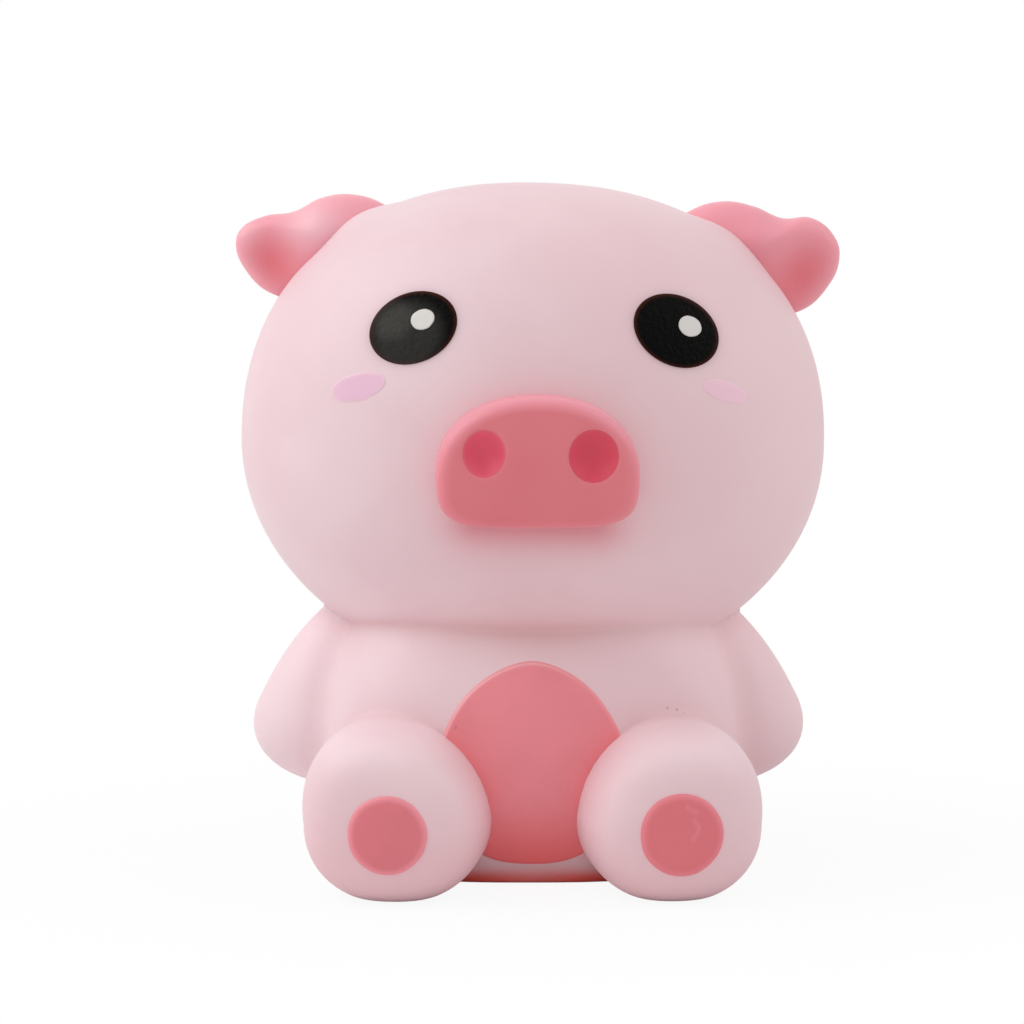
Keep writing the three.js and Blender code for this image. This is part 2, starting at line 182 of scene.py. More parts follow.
def casting_clearance(points):
    """About how far outside the whole casting each point lies. It stands on the floor, with a rolled edge."""
    head = forms["head"].clearance(points)
    for mound in ear_mounds:
        head = soften(head, mound.clearance(points), mound_crease)
    skin = forms["body"].clearance(points)
    for name in "left_arm", "right_arm":
        skin = soften(skin, forms[name].clearance(points), arm_crease)
    skin = soften(skin, head, neck_crease)
    # crisp beside the belly patch, soft over the thighs
    out = np.clip((np.abs(points[:, 0]) - 13) / 7, 0, 1)
    leg_crease = patch_crease + (thigh_crease - patch_crease) * out * out * (3 - 2 * out)
    for name in "left_leg", "right_leg":
        skin = soften(skin, forms[name].clearance(points), leg_crease)
    return -soften(-skin, points[:, 2], base_roll)


def casting_slope(points):
    """How that clearance grows along each axis, at each point."""
    step = 0.02
    ahead = [casting_clearance(points + step * axis) for axis in np.eye(3)]
    behind = [casting_clearance(points - step * axis) for axis in np.eye(3)]
    return (np.array(ahead) - np.array(behind)).T / (2 * step)


def tucked(points, first, second, width):
    """1 in the crease between two forms, falling away within about this width of it."""
    away = np.maximum(forms[first].clearance(points), forms[second].clearance(points))
    return np.exp(-away.clip(0) / width)


def points_of(mesh):
    found = np.empty(3 * len(mesh.vertices), np.float32)
    mesh.vertices.foreach_get("co", found)
    return found.reshape(-1, 3).astype(float)


def move_points(mesh, points):
    mesh.vertices.foreach_set("co", points.astype(np.float32).ravel())
    mesh.update()


def note(mesh, name, values):
    """Keeps a number for each point of a mesh, for its material to read."""
    mesh.attributes.new(name, "FLOAT", "POINT").data.foreach_set("value", values.astype(np.float32))


def mesh_of(name, made):
    """The mesh that bmesh made."""
    mesh = bpy.data.meshes.new(name)
    made.to_mesh(mesh)
    made.free()
    return mesh


def object_of(name, data):
    """An object that shows this mesh, curve, lamp or camera in the scene."""
    made = bpy.data.objects.new(name, data)
    bpy.context.scene.collection.objects.link(made)
    return made


def ball(name, detail):
    """A unit ball of even faces, which is then pushed into the shape of a piece."""
    made = bmesh.new()
    bmesh.ops.create_icosphere(made, subdivisions=detail, radius=1)
    return mesh_of(name, made)


pattern = bmesh.new()
for name, form in forms.items():
    blank = ball(name, 5)
    swollen = form.skin(points_of(blank))
    swollen[:, 2] = np.maximum(swollen[:, 2], 0)
    move_points(blank, swollen)
    pattern.from_mesh(blank)
    bpy.data.meshes.remove(blank)
casting = object_of("casting", mesh_of("casting", pattern))
remesh = casting.modifiers.new("one skin", "REMESH")
remesh.mode = "VOXEL"
remesh.voxel_size = 1.1
smooth = casting.modifiers.new("even grain", "SMOOTH")
smooth.factor = 0.5
smooth.iterations = 6
fine = casting.modifiers.new("fine skin", "SUBSURF")
fine.levels = fine.render_levels = 1
one_skin = bpy.data.meshes.new_from_object(casting.evaluated_get(bpy.context.evaluated_depsgraph_get()))
bpy.data.objects.remove(casting)


def fit_to_casting(mesh):
    """Moves each point of a mesh onto the skin of the casting, in four steps of a millimetre at most."""
    points = points_of(mesh)
    for _ in range(4):
        slope = casting_slope(points)
        step = casting_clearance(points) / np.maximum((slope**2).sum(axis=1), 0.05)
        points -= slope * np.clip(step, -1, 1)[:, None]
    move_points(mesh, points)
    return points


# the skin is finer in the crisp creases between legs and belly
skin_points = fit_to_casting(one_skin)
beside_leg = [tucked(skin_points, side + "_leg", "body", 1) for side in ("left", "right")]
in_crease = np.max(beside_leg, axis=0) > 0.25
in_crease &= (np.abs(skin_points[:, 0]) < 19) & (skin_points[:, 1] < -15) & (skin_points[:, 2] > 1)
finer = bmesh.new()
finer.from_mesh(one_skin)
split = [edge for edge in finer.edges if in_crease[edge.verts[0].index] and in_crease[edge.verts[1].index]]
bmesh.ops.subdivide_edges(finer, edges=split, cuts=3, use_grid_fill=True)
finer.to_mesh(one_skin)
finer.free()
fit_to_casting(one_skin)

names = list(forms)
face_middles = np.empty(3 * len(one_skin.polygons), np.float32)
one_skin.polygons.foreach_get("center", face_middles)
owner = np.argmin([form.clearance(face_middles.reshape(-1, 3)) for form in forms.values()], axis=0)


# Materials. The foam has a matte skin with a fine grain, faint clouds in its colour and a few pinholes.


class Wire:
    """A node's output. Sums, differences and products of wires add their own Math nodes."""

    def __init__(self, wiring, socket):
        self.wiring = wiring
        self.socket = socket

    def math(self, operation, *values):
        return self.wiring.node("ShaderNodeMath", {"operation": operation}, dict(enumerate(values)))

    def __add__(self, other):
        return self.math("ADD", self, other)

    def __sub__(self, other):
        return self.math("SUBTRACT", self, other)

    def __rsub__(self, other):
        return self.math("SUBTRACT", other, self)

    def __mul__(self, other):
        return self.math("MULTIPLY", self, other)

    __radd__ = __add__
    __rmul__ = __mul__

    def between(self, low, high):
        """0 up to low, 1 from high, and smooth between them."""
        sockets = {"Value": self, "From Min": low, "From Max": high}
        return self.wiring.node("ShaderNodeMapRange", {"interpolation_type": "SMOOTHSTEP"}, sockets)


class Wiring:
    """The nodes of a material or of the world."""

    def __init__(self, tree):
        self.tree = tree

    def join(self, value, socket):
        if isinstance(value, Wire):
            self.tree.links.new(value.socket, socket)
        else:
            socket.default_value = value

    def node(self, kind, settings, sockets, output=0):
        made = self.tree.nodes.new(kind)
        for setting, value in settings.items():
            setattr(made, setting, value)
        for socket, value in sockets.items():
            self.join(value, made.inputs[socket])
        return Wire(self, made.outputs[output])


class Finish(Wiring):
    """A procedural material, and the wires that lead to its shader."""

    def __init__(self, name, **plain):
        self.material = bpy.data.materials.new(name)
        self.material.use_nodes = True
        super().__init__(self.material.node_tree)
        self.shader = self.tree.nodes["Principled BSDF"]
        for socket, value in plain.items():
            self.feed(socket.replace("_", " "), value)
        self.place = self.node("ShaderNodeTexCoord", {}, {}, "Object")

    def feed(self, socket, value):
        self.join(value, self.shader.inputs[socket])

    def mix(self, share, first, second):
        """The first colour at 0 and the second at 1."""
        return self.node("ShaderNodeMix", {"data_type": "RGBA"}, {0: share, 6: first, 7: second}, 2)

    def noise(self, scale, detail=2.0):
        return self.node("ShaderNodeTexNoise", {}, {"Vector": self.place, "Scale": scale, "Detail": detail})

    def lay(self, share, tint):
        """Lays a colour over the finish, as far as this share says at each place."""
        self.tint = self.mix(share, self.tint, tint)
        self.feed("Base Color", self.tint)

    def stain(self, **stains):
        """Lays each colour over the finish as far as the attribute of that name says."""
        for name, tint in stains.items():
            self.lay(self.attribute(name), colour(*tint))

    def spot(self, x, y, z, radius):
        """1 within a radius of a place on the toy in millimetres, and 0 from 1.5 times as far."""
        sockets = {0: self.place, 1: (MM * x, MM * y, MM * z)}
        away = self.node("ShaderNodeVectorMath", {"operation": "DISTANCE"}, sockets, "Value")
        return 1 - away.between(MM * radius, MM * radius * 1.5)

    def spots(self, *places):
        """The same for more than one place, each with its own radius."""
        first, *others = [self.spot(*place) for place in places]
        return sum(others, first)

    def on_left(self):
        """1 on the toy's left and 0 on its right."""
        return self.node("ShaderNodeSeparateXYZ", {}, {"Vector": self.place}, "X").between(0, 0.004)

    def attribute(self, name):
        return self.node("ShaderNodeAttribute", {"attribute_name": name}, {}, "Fac")

    def relief(self, height, distance, strength=1.0):
        sockets = {"Height": height, "Distance": distance, "Strength": strength}
        self.feed("Normal", self.node("ShaderNodeBump", {}, sockets))


def colour(red, green, blue):
    """A colour as it is read on a screen, for a shader."""
    return [((c / 255 + 0.055) / 1.055) ** 2.4 for c in (red, green, blue)] + [1]


def foam_finish(name, pale, deep, roughness):
    """A foam skin: clouds between two colours, a fine grain, and a scatter of pinholes."""
    made = Finish(name, Roughness=roughness, Sheen_Weight=0.12, Sheen_Roughness=0.45)
    clouds = made.noise(34, 3).between(0.35, 0.68)
    grain = made.noise(1500, 3)
    cells = {"Vector": made.place, "Scale": 130}
    spot = made.node("ShaderNodeTexVoronoi", {}, cells)
    cell = made.node("ShaderNodeTexVoronoi", {}, cells, "Position")
    picked = made.node("ShaderNodeTexWhiteNoise", {"noise_dimensions": "3D"}, {"Vector": cell})
    pinhole = (1 - spot.between(0.012, 0.034)) * picked.between(0.86, 0.87)
    made.tint = made.mix(clouds, pale, deep)
    made.lay(pinhole * 0.35, colour(150, 96, 104))
    made.feed("Roughness", roughness - 0.06 + grain * 0.12)
    made.relief(grain * 0.25 + made.noise(260, 2) * 0.6 - pinhole, 0.00012, 0.5)
    return made


# painted shade and bounced light: the creases, left side, low front and soles pinker, and deep red between
# the feet
skin_finish = foam_finish("pale foam skin", colour(242, 215, 220), colour(237, 206, 212), 0.55)
skin_finish.stain(
    pinker=(238, 199, 203),
    crease=(224, 172, 172),
    thigh=(254, 231, 236),
    sole=(236, 192, 198),
    base=(253, 96, 80),
    haze=(190, 164, 172),
    blushing=(222, 142, 152),
)
# moulding marks: a fleck of stray foam on one leg, and a few small pits over the other
skin_finish.lay(skin_finish.spot(-15.9, -34.7, 26.4, 0.5) * 0.7, colour(214, 226, 218))
leg_pits = skin_finish.spots(
    (22.9, -27, 28.3, 0.22), (23.9, -26.5, 27.6, 0.25), (21.4, -27.7, 28.7, 0.2), (20.3, -28.5, 27.6, 0.2)
)
skin_finish.lay(leg_pits * 0.35, colour(160, 100, 108))


def dress(mesh, finish, node):
    """A finished mesh becomes a piece, with its material and its place in the toy."""
    mesh.materials.append(finish.material)
    piece = object_of(mesh.name, mesh)
    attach(piece, "root")
    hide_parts(node)


# where each form's cut ends meet, inside the foam
cut_meets = {
    "body": (0, 0, 22),
    "head": (0, 0, 46),
    "left_arm": (24, -3, 26),
    "right_arm": (-24, -3, 26),
    "left_leg": (20, -20, 14),
    "right_leg": (-20, -20, 14),
}
for number, name in enumerate(names):
    part = bmesh.new()
    part.from_mesh(one_skin)
    part.faces.ensure_lookup_table()
    others = [part.faces[i] for i in np.flatnonzero(owner != number)]
    bmesh.ops.delete(part, geom=others, context="FACES")
    rim = [edge for edge in part.edges if edge.is_boundary]
    wall = bmesh.ops.extrude_edge_only(part, edges=rim)
    inner = [item for item in wall["geom"] if isinstance(item, bmesh.types.BMVert)]
    bmesh.ops.pointmerge(part, verts=inner, merge_co=cut_meets[name])
    bmesh.ops.recalc_face_normals(part, faces=part.faces)
    mesh = mesh_of("moulded_" + name, part)
    points = points_of(mesh)
    slope = casting_slope(points)
    mesh.shade_smooth()
    mesh.normals_split_custom_set_from_vertices(slope / np.linalg.norm(slope, axis=1, keepdims=True))
    move_points(mesh, points * MM)
    x, y, z = points.T
    # painted shade: the neck crease is painted pinkest under the chin, and pinker on the toy's right than on
    # its left
    under_chin = np.exp(-((x / 16) ** 2)) * (y < 0)
    crease = (0.38 - 0.28 * np.clip(x / 20, -1, 1)) * (1 - under_chin) + 0.85 * under_chin
    crease *= tucked(points, "head", "body", 0.9 + 1.7 * under_chin)
    for side, arm_share in ("left", 0.3), ("right", 0.08):
        crease = np.maximum(crease, 0.4 * tucked(points, side + "_leg", "body", 0.7))
        crease = np.maximum(crease, arm_share * tucked(points, side + "_arm", "body", 0.9))
        crease = np.maximum(crease, arm_share * tucked(points, side + "_arm", "head", 0.9))
    between_feet = (1 - 0.25 * np.exp(-((x / 6) ** 2))) * np.clip(4 - np.abs(x) / 4, 0, 1) * (y < 0)
    on_leg = name.endswith("leg") * np.clip((-27 - y) / 6, 0, 1)
    sole_top = 20 if name == "right_leg" else 15
    # painted shade and warmer light: the casting is painted a little pinker on its left, above the legs, and
    # on its low front
    to_left = np.clip((x + 35) / 75, 0, 1)
    low_front = np.clip((-22 - y) / 10, 0, 1) * np.clip((30 - z) / 8, 0, 1)
    note(mesh, "pinker", 0.5 * to_left * to_left * (3 - 2 * to_left) * (1 - low_front) + 0.27 * low_front)
    note(mesh, "crease", crease)
    # painted shade: deep red at the foot of the body between the feet
    note(mesh, "base", np.exp(-((z.clip(0) / 2.45) ** 3)) * between_feet * (name == "body"))
    # painted shade and bounced light: the lower soles are painted pinker
    note(mesh, "sole", 0.7 * on_leg * np.clip((sole_top - z) / 12, 0, 1))
    # painted highlight: the thigh tops and the right arm are painted palest where they stand out furthest
    stands_out = np.minimum(forms["body"].clearance(points), forms["head"].clearance(points))
    arm_pale = 0.35 * np.clip(stands_out / 5, 0, 1) * (name == "right_arm")
    note(mesh, "thigh", 0.5 * on_leg * np.exp(-(((z - 25.5) / 3.5) ** 2)) + arm_pale)
    dress(mesh, skin_finish, name)
bpy.data.meshes.remove(one_skin)


# The painted areas. Each is a film of flexible paint laid on by a pad through a mask, a little proud of the
# foam, with a soft rolled edge. The sole pads and the belly patch are thick coats, the eyes and the blush
# thin ones.


def skin_depth(form, facing, x, z):
    """How far forward the form's skin lies at places on its front, in the axes of what faces forward."""
    outside = np.full(len(x), -70.0)
    inside = np.zeros(len(x))
    # the skin lies between the two, and each step halves what is between them
    for _ in range(40):
        middle = (outside + inside) / 2
        free = form.clearance(in_toy(facing, x, middle, z)) > 0
        outside = np.where(free, middle, outside)
        inside = np.where(free, inside, middle)
    return inside


def in_toy(facing, x, y, z):
    """The points at these places in the axes of what faces forward, in the axes of the toy."""
    return np.stack([x, y, z], axis=1) @ np.array(facing.to_3x3()).T + np.array(facing.translation)


def rolled(reach, flat=0.6):
    """For places on a unit ball's front, from 0 in its middle to 1 at its edge: how far they are through the
    flat face, and how far round the rolled edge."""
    face = np.minimum(reach / flat, 1)
    roll = np.clip((reach - flat) / (1 - flat), 0, 1) * np.pi / 2
    return face, roll


def paint_film(
    name, form, facing, long, short, tilt, x, z, proud, inlay, rim, ripple=0.0, detail=6, sink=None,
    powers=(2, 2),
):
    """A film of paint in an oval on the front of a form. Its rim attribute runs from 0 in its middle to 1.
    The powers say how boxy it is above and below."""
    mesh = ball(name, detail)
    unit = points_of(mesh)
    reach = np.hypot(unit[:, 0], unit[:, 2])
    around = np.arctan2(unit[:, 2], unit[:, 0])
    face, roll = rolled(reach)
    power = np.where(np.sin(around) > 0, *powers)
    along = np.abs(np.cos(around) / (long / 2)) ** power
    aside = np.abs(np.sin(around) / (short / 2)) ** power
    radius = (along + aside) ** (-1 / power)
    waves = np.sin(3 * around + 0.7) + 0.6 * np.sin(5 * around + 2.1) + 0.4 * np.sin(9 * around)
    radius *= 1 + ripple * waves
    out = face * (radius - rim) + np.sin(roll) * rim
    lift = np.cos(roll) * np.where(unit[:, 1] < 0, -proud, inlay)
    turn = around + radians(tilt)
    across = x + out * np.cos(turn)
    up = z + out * np.sin(turn)
    depth = skin_depth(form, facing, across, up) if sink is None else sink(across, up)
    move_points(mesh, in_toy(facing, across, depth + lift, up) * MM)
    note(mesh, "rim", out / radius)
    mesh.shade_smooth()
    return mesh


def paint_finish(name, tint, edge_tint, roughness, orange_peel, edge=(0.8, 1.0), coat=0.0):
    """A film of flexible paint: a colour that turns at its edge, and a slight orange peel."""
    made = Finish(name, Roughness=roughness, Coat_Weight=coat, Coat_Roughness=0.3)
    clouds = made.noise(90, 3).between(0.3, 0.7)
    deeper = [c * 0.93 for c in tint[:3]] + [1]
    made.tint = made.mix(clouds, tint, deeper)
    made.lay(made.attribute("rim").between(*edge), edge_tint)
    peel = made.noise(900, 2)
    made.feed("Roughness", roughness - 0.05 + peel * 0.1)
    if orange_peel:
        made.relief(peel, 0.00015, orange_peel)
    return made


eye_long = 14.35
eye_short = 10.45
eye_tilt = 25.5
eye_spread = 41.4
eye_height = 20.8
glint_long = 4
glint_short = 3.15
blush_spread = 57.8
blush_height = 11.3
blush_tilt = 20
blush_shift = -0.3
# how far each coat stands proud, how far it is let in, and how wide its rolled rim is
eye_coat = 0.3, 1.6, 0.5
glint_coat = 0.45, 0.5, 0.3
blush_coat = 0.12, 1, 0.6
# the mask for eyes and blush lies a little askew on the face
mask_shift = 0.6
mask_slope = 0.0096
# painted sheen: the right eye is painted grey at its upper outer end, standing in for a sheen of the lamps
eye_finish = paint_finish("eye paint", colour(5, 4, 3), colour(60, 26, 18), 0.5, 0, edge=(0.88, 1.0))
eye_finish.feed("Specular IOR Level", 0.04)
bloom = eye_finish.spots((-23.5, -33, 92.5, 4), (-21, -35, 90, 5.5))
wrinkles = eye_finish.noise(1300, 3)
eye_finish.lay(bloom * (wrinkles * 0.3 + 0.35), colour(68, 66, 63))
eye_finish.relief(wrinkles, 0.0003, 1.0)
glint_finish = paint_finish("glint paint", colour(226, 221, 217), colour(207, 201, 197), 0.5, 0.2)
blush_finish = paint_finish("blush paint", colour(245, 199, 221), colour(241, 206, 216), 0.5, 0.2, (0.8, 1.0))
blush_finish.lay(blush_finish.on_left() * 0.7, colour(250, 205, 219))
head = forms["head"]
head_mesh = bpy.data.meshes["moulded_head"]
face_x, face_y, face_z = ((points_of(head_mesh) / MM - head.middle) @ head.turn).T
haze = np.zeros(len(face_x))
marks = (1, "left", 7.6, 3.1, 2.15, 0.7), (-1, "right", 9.1, 4.2, 1.45, 1.4)
for side, name, blush_long, blush_short, aside, rise in marks:
    tilt = -side * eye_tilt
    out = side * eye_spread / 2
    x = mask_shift + out
    z = eye_height + out * mask_slope
    eye = paint_film(f"painted_{name}_eye", head, head_place, eye_long, eye_short, tilt, x, z, *eye_coat)
    dress(eye, eye_finish, f"{name}_eye")
    # a faint greyish tint is laid on the face for a millimetre round each eye
    turn = radians(tilt)
    along = ((face_x - x) * np.cos(turn) + (face_z - z) * np.sin(turn)) / (eye_long / 2)
    across = ((face_z - z) * np.cos(turn) - (face_x - x) * np.sin(turn)) / (eye_short / 2)
    past = (np.hypot(along, across) - 1) * eye_short / 2
    haze = np.maximum(haze, 0.5 * np.exp(-past.clip(0) / 0.5))
    glint_name = f"painted_{name}_eye_glint"
    glint_spot = glint_long, glint_short, tilt, x + aside, z + rise
    glint = paint_film(glint_name, head, head_place, *glint_spot, *glint_coat, ripple=0.012, detail=5)
    dress(glint, glint_finish, f"{name}_eye_glint")
    out = side * blush_spread / 2
    x = mask_shift + blush_shift + out
    z = blush_height + out * mask_slope
    blush_spot = blush_long, blush_short, -side * blush_tilt, x, z
    blush = paint_film(f"painted_{name}_blush", head, head_place, *blush_spot, *blush_coat, ripple=0.015)
    dress(blush, blush_finish, f"{name}_blush")
note(head_mesh, "haze", haze * (face_y < 0))

# the patch is redder low down and beside the legs, where they shade it
patch_edge = colour(246, 152, 160)
patch_finish = paint_finish("belly paint", colour(243, 141, 151), patch_edge, 0.45, 0.35, (0.94, 1.0))
patch_finish.stain(shade=(252, 116, 117), lit_edge=(253, 190, 194))
patch_pits = patch_finish.spots((-12.3, -31.3, 26.2, 0.25), (-11.3, -31.6, 27.4, 0.2), (-9.6, -31.9, 30, 0.2))
patch_finish.lay(patch_pits * 0.4, colour(204, 96, 108))
patch_width = 29.8
patch_tall = 32.7
patch_height = 20.15
patch_spot = patch_width, patch_tall, 0, -0.2, patch_height - body_girth_height
patch_coat = 0.3, 1.4, 0.6
patch_name = "painted_belly_patch"
patch = paint_film(
    patch_name, forms["body"], body_place, *patch_spot, *patch_coat, ripple=0.004, powers=(1.8, 2.4)
)
patch_points = points_of(patch) / MM
beside = tucked(patch_points, "left_leg", "body", 2.5) + tucked(patch_points, "right_leg", "body", 2.5)
low = np.clip((15 - patch_points[:, 2]) / 12, 0, 1)
note(patch, "shade", np.maximum(0.35 * beside, low).clip(0, 1))
# the coat's edge catches the light at its upper left
rim = np.empty(len(patch_points))
patch.attributes["rim"].data.foreach_get("value", rim)
upper_left = np.clip((patch_points[:, 2] - 20 - patch_points[:, 0]) / 12 - 0.4, 0, 1)
note(patch, "lit_edge", 0.7 * upper_left * np.exp(-(((rim - 0.98) / 0.012) ** 2)))
dress(patch, patch_finish, "belly_patch")


def away_from(line, across, up):
    """How far each place lies from a line through these points of a flat face."""
    away = np.full(len(across), 100.0)
    for (x, z), (next_x, next_z) in zip(line, line[1:]):
        run = next_x - x
        rise = next_z - z
        along = (((across - x) * run + (up - z) * rise) / (run**2 + rise**2)).clip(0, 1)
        away = np.minimum(away, np.hypot(across - x - along * run, up - z - along * rise))
    return away


# the left pad's coat is a little redder, with a painted sheen along a curl where the brush left it thick
pad_finish = paint_finish("sole paint", colour(231, 122, 132), colour(243, 148, 159), 0.45, 0.35, (0.8, 1.0))
pad_finish.lay(pad_finish.on_left() * 0.5, colour(229, 112, 120))
pad_finish.lay(pad_finish.attribute("curl") * 0.22, colour(248, 164, 176))
curls = [(0.7, 4.4), (1.4, 3.8), (2.2, 3.5)], [(1.8, 2.2), (2.6, 1.2), (2.4, 0.4), (1.6, -0.7)]
pad_coat = 0.6, 1.6, 1.2
for name, width in ("left", 13.1), ("right", 12.5):
    leg = name + "_leg"
    facing = sole_facing[leg]
    pad_name = f"painted_{name}_foot_pad"
    pad = paint_film(pad_name, forms[leg], facing, width, width, 0, 0, -0.15, *pad_coat, ripple=0.006)
    if name == "left":
        from_middle = points_of(pad) / MM - np.array(facing.translation)
        across, _, up = (from_middle @ np.array(facing.to_3x3())).T
        nearest = np.min([away_from(line, across, up) for line in curls], axis=0)
        note(pad, "curl", np.exp(-((nearest / 0.32) ** 2)))
    dress(pad, pad_finish, f"{name}_foot_pad")


# The snout. A flat-bottomed disc of the same foam, sprayed coral, with a rolled rim. Two round thumb dents in
# its face are the nostrils, which are touched in with a deeper rose.
snout_width = 31.6
snout_rise = 12
snout_drop = 8.2
snout_top_power = 2.15
snout_bottom_power = 4.5
snout_tilt = 1.5
snout_height = -0.8
snout_shift = 0.3
snout_stand_out = 8
snout_rim = 2.0
snout_narrowing = 0.045  # its half width loses this share by its flat bottom
snout_crown = 0.5
snout_sink = 3  # how far its back is let into the head
snout_side = 0.96  # how far out on a unit ball its side begins
nostril_spread = 17
nostril_height = 3.4
nostril_depth = 1.9
nostril_coat = 0.06, 1, 0.4
nostrils = (1, "left", 7.8, 8.3), (-1, "right", 6.7, 7.5)
snout_face = skin_depth(head, head_place, np.zeros(1), np.full(1, snout_height))[0] - snout_stand_out


def snout_front(x, z):
    """How far forward the snout's face lies, with its slight crown and the two dents."""
    x = x + snout_shift
    crown = snout_crown * ((x / snout_width * 2) ** 2 + (z / snout_rise) ** 2)
    dent = 0
    for side, _, width, tall in nostrils:
        out = (x - side * nostril_spread / 2) / (width / 2)
        up = (z - snout_height - nostril_height) / (tall / 2)
        bowl = np.clip(1 - (np.hypot(out, up) / 1.1) ** 2, 0, 1)
        dent = dent + nostril_depth * bowl**1.5
    return snout_face + crown + dent


snout_mesh = ball("moulded_snout", 7)
unit = points_of(snout_mesh)
reach = np.hypot(unit[:, 0], unit[:, 2])
around = np.arctan2(unit[:, 2], unit[:, 0])
power = np.where(unit[:, 2] > 0, snout_top_power, snout_bottom_power)
scale = (np.abs(np.cos(around)) ** power + np.abs(np.sin(around)) ** power) ** (-1 / power)
across = np.cos(around) * scale * snout_width / 2
up = np.sin(around) * scale * np.where(unit[:, 2] > 0, snout_rise, snout_drop)
across *= 1 - snout_narrowing * (up.clip(None, 0) / snout_drop) ** 2
radius = np.hypot(across, up)
turn = np.arctan2(up, across) + radians(snout_tilt)
wall = np.clip((reach - snout_side) / (1 - snout_side), 0, 1)
face, roll = rolled(np.minimum(reach / snout_side, 1), flat=0.8)
out = face * (radius - snout_rim) + np.sin(roll) * snout_rim
x = out * np.cos(turn) - snout_shift
z = snout_height + out * np.sin(turn)
front = snout_front(x, z) + (1 - np.cos(roll)) * snout_rim
back = skin_depth(head, head_place, x, z) + snout_sink
y = np.where(unit[:, 1] < 0, front + (back - front) * wall, back)
move_points(snout_mesh, in_toy(head_place, x, y, z) * MM)
# painted highlight: the rolled rim is painted palest on top and towards the toy's right, where it faces the
# lamps
top = 0.45 + 0.55 * np.clip(unit[:, 2] * 1.6 - 0.16 * unit[:, 0], 0, 1)
note(snout_mesh, "rim", np.where(unit[:, 2] > 0, 1, 0.8) * top * np.clip((out / radius - 0.84) / 0.14, 0, 1))
snout_mesh.shade_smooth()
# painted shade: the face is painted darker and pinker close below the snout, where it is shaded and its
# colour is thrown back, and faintly pinker all round it
down = snout_height - 1 - face_z
past_corner = (np.abs(face_x + snout_shift) - 9).clip(0) / 5
below = np.exp(-(past_corner**2) - ((down - snout_drop) / 3.4).clip(0) ** 1.5)
round_it = np.hypot((face_x + snout_shift) / (snout_width / 2), (face_z - snout_height) / snout_rise) - 1
beside_it = 0.07 * np.exp(-round_it.clip(0) / 0.1)
note(head_mesh, "blushing", np.maximum(0.9 * below * (down > 0), beside_it) * (face_y < 0))
snout_finish = foam_finish("snout foam skin", colour(232, 124, 133), colour(226, 115, 124), 0.5)
# painted highlight on the rolled rim
edge_tint = snout_finish.mix(snout_finish.noise(60), colour(240, 152, 166), colour(236, 144, 158))
snout_finish.lay(snout_finish.attribute("rim"), edge_tint)
dress(snout_mesh, snout_finish, "snout")

nostril_edge = colour(228, 98, 114)
nostril_finish = paint_finish("nostril paint", colour(238, 84, 110), nostril_edge, 0.5, 0.2, (0.85, 1.0))
nostril_finish.lay(nostril_finish.on_left() * 0.6, colour(215, 58, 80))
for side, name, width, tall in nostrils:
    x = side * nostril_spread / 2 - snout_shift
    z = snout_height + nostril_height
    nostril_name = f"painted_{name}_nostril"
    nostril = paint_film(
        nostril_name, head, head_place, width, tall, 0, x, z, *nostril_coat, sink=snout_front
    )
    dress(nostril, nostril_finish, f"{name}_nostril")


# The ears. Thick flaps of foam with a fold on top where they leave the head, a rounded tip, and a thumb dent
# near the tip. They are sprayed coral up to the head.
ear_seat_angle = 46
ear_thickness = 11
ear_fullness = 2.6
seat_line = np.array([[np.cos(radians(ear_seat_angle)), 0, np.sin(radians(ear_seat_angle))]])
ear_seat = (head.skin(seat_line)[0] - head.middle) @ head.turn
ear_set_back = 3.5
ear_dent = 2.7
ear_bulge = 1.4
coral_finish = foam_finish("coral foam skin", colour(248, 164, 177), colour(244, 154, 168), 0.5)
# painted highlight over the bulge and painted shade at the root; the dent is a deeper coral
coral_finish.stain(bulge=(255, 200, 210), dent=(238, 126, 136), root=(212, 98, 112))


def ear_outline(reach, lobe_rise, dip_rise, tip_rise, foot_drop, fold=9.6, root_sink=13):
    """The ear's edge as seen from the front, from its fold on the head round its tip to its foot."""
    knots = [
        (-root_sink, lobe_rise * 0.4),
        (-fold, lobe_rise * 0.78),
        (-fold * 0.45, lobe_rise),
        (reach * 0.06, lobe_rise * 0.92),
        (reach * 0.38, dip_rise),
        (reach * 0.7, tip_rise),
        (reach * 0.95, tip_rise * 0.45),
        (reach, -foot_drop * 0.05),
        (reach * 0.9, -foot_drop * 0.52),
        (reach * 0.56, -foot_drop),
        (-fold * 0.2, -foot_drop),
    ]
    curve = bpy.data.curves.new("ear edge", "CURVE")
    line = curve.splines.new("BEZIER")
    line.bezier_points.add(len(knots) - 1)
    for point, (x, z) in zip(line.bezier_points, knots):
        point.co = (x, 0, z)
        point.handle_left_type = point.handle_right_type = "AUTO"
    line.use_cyclic_u = True
    line.resolution_u = 16
    holder = object_of("ear edge", curve)
    drawn = holder.evaluated_get(bpy.context.evaluated_depsgraph_get())
    edge = points_of(bpy.data.meshes.new_from_object(drawn))
    bpy.data.objects.remove(holder)
    return edge[:, 0], edge[:, 2]


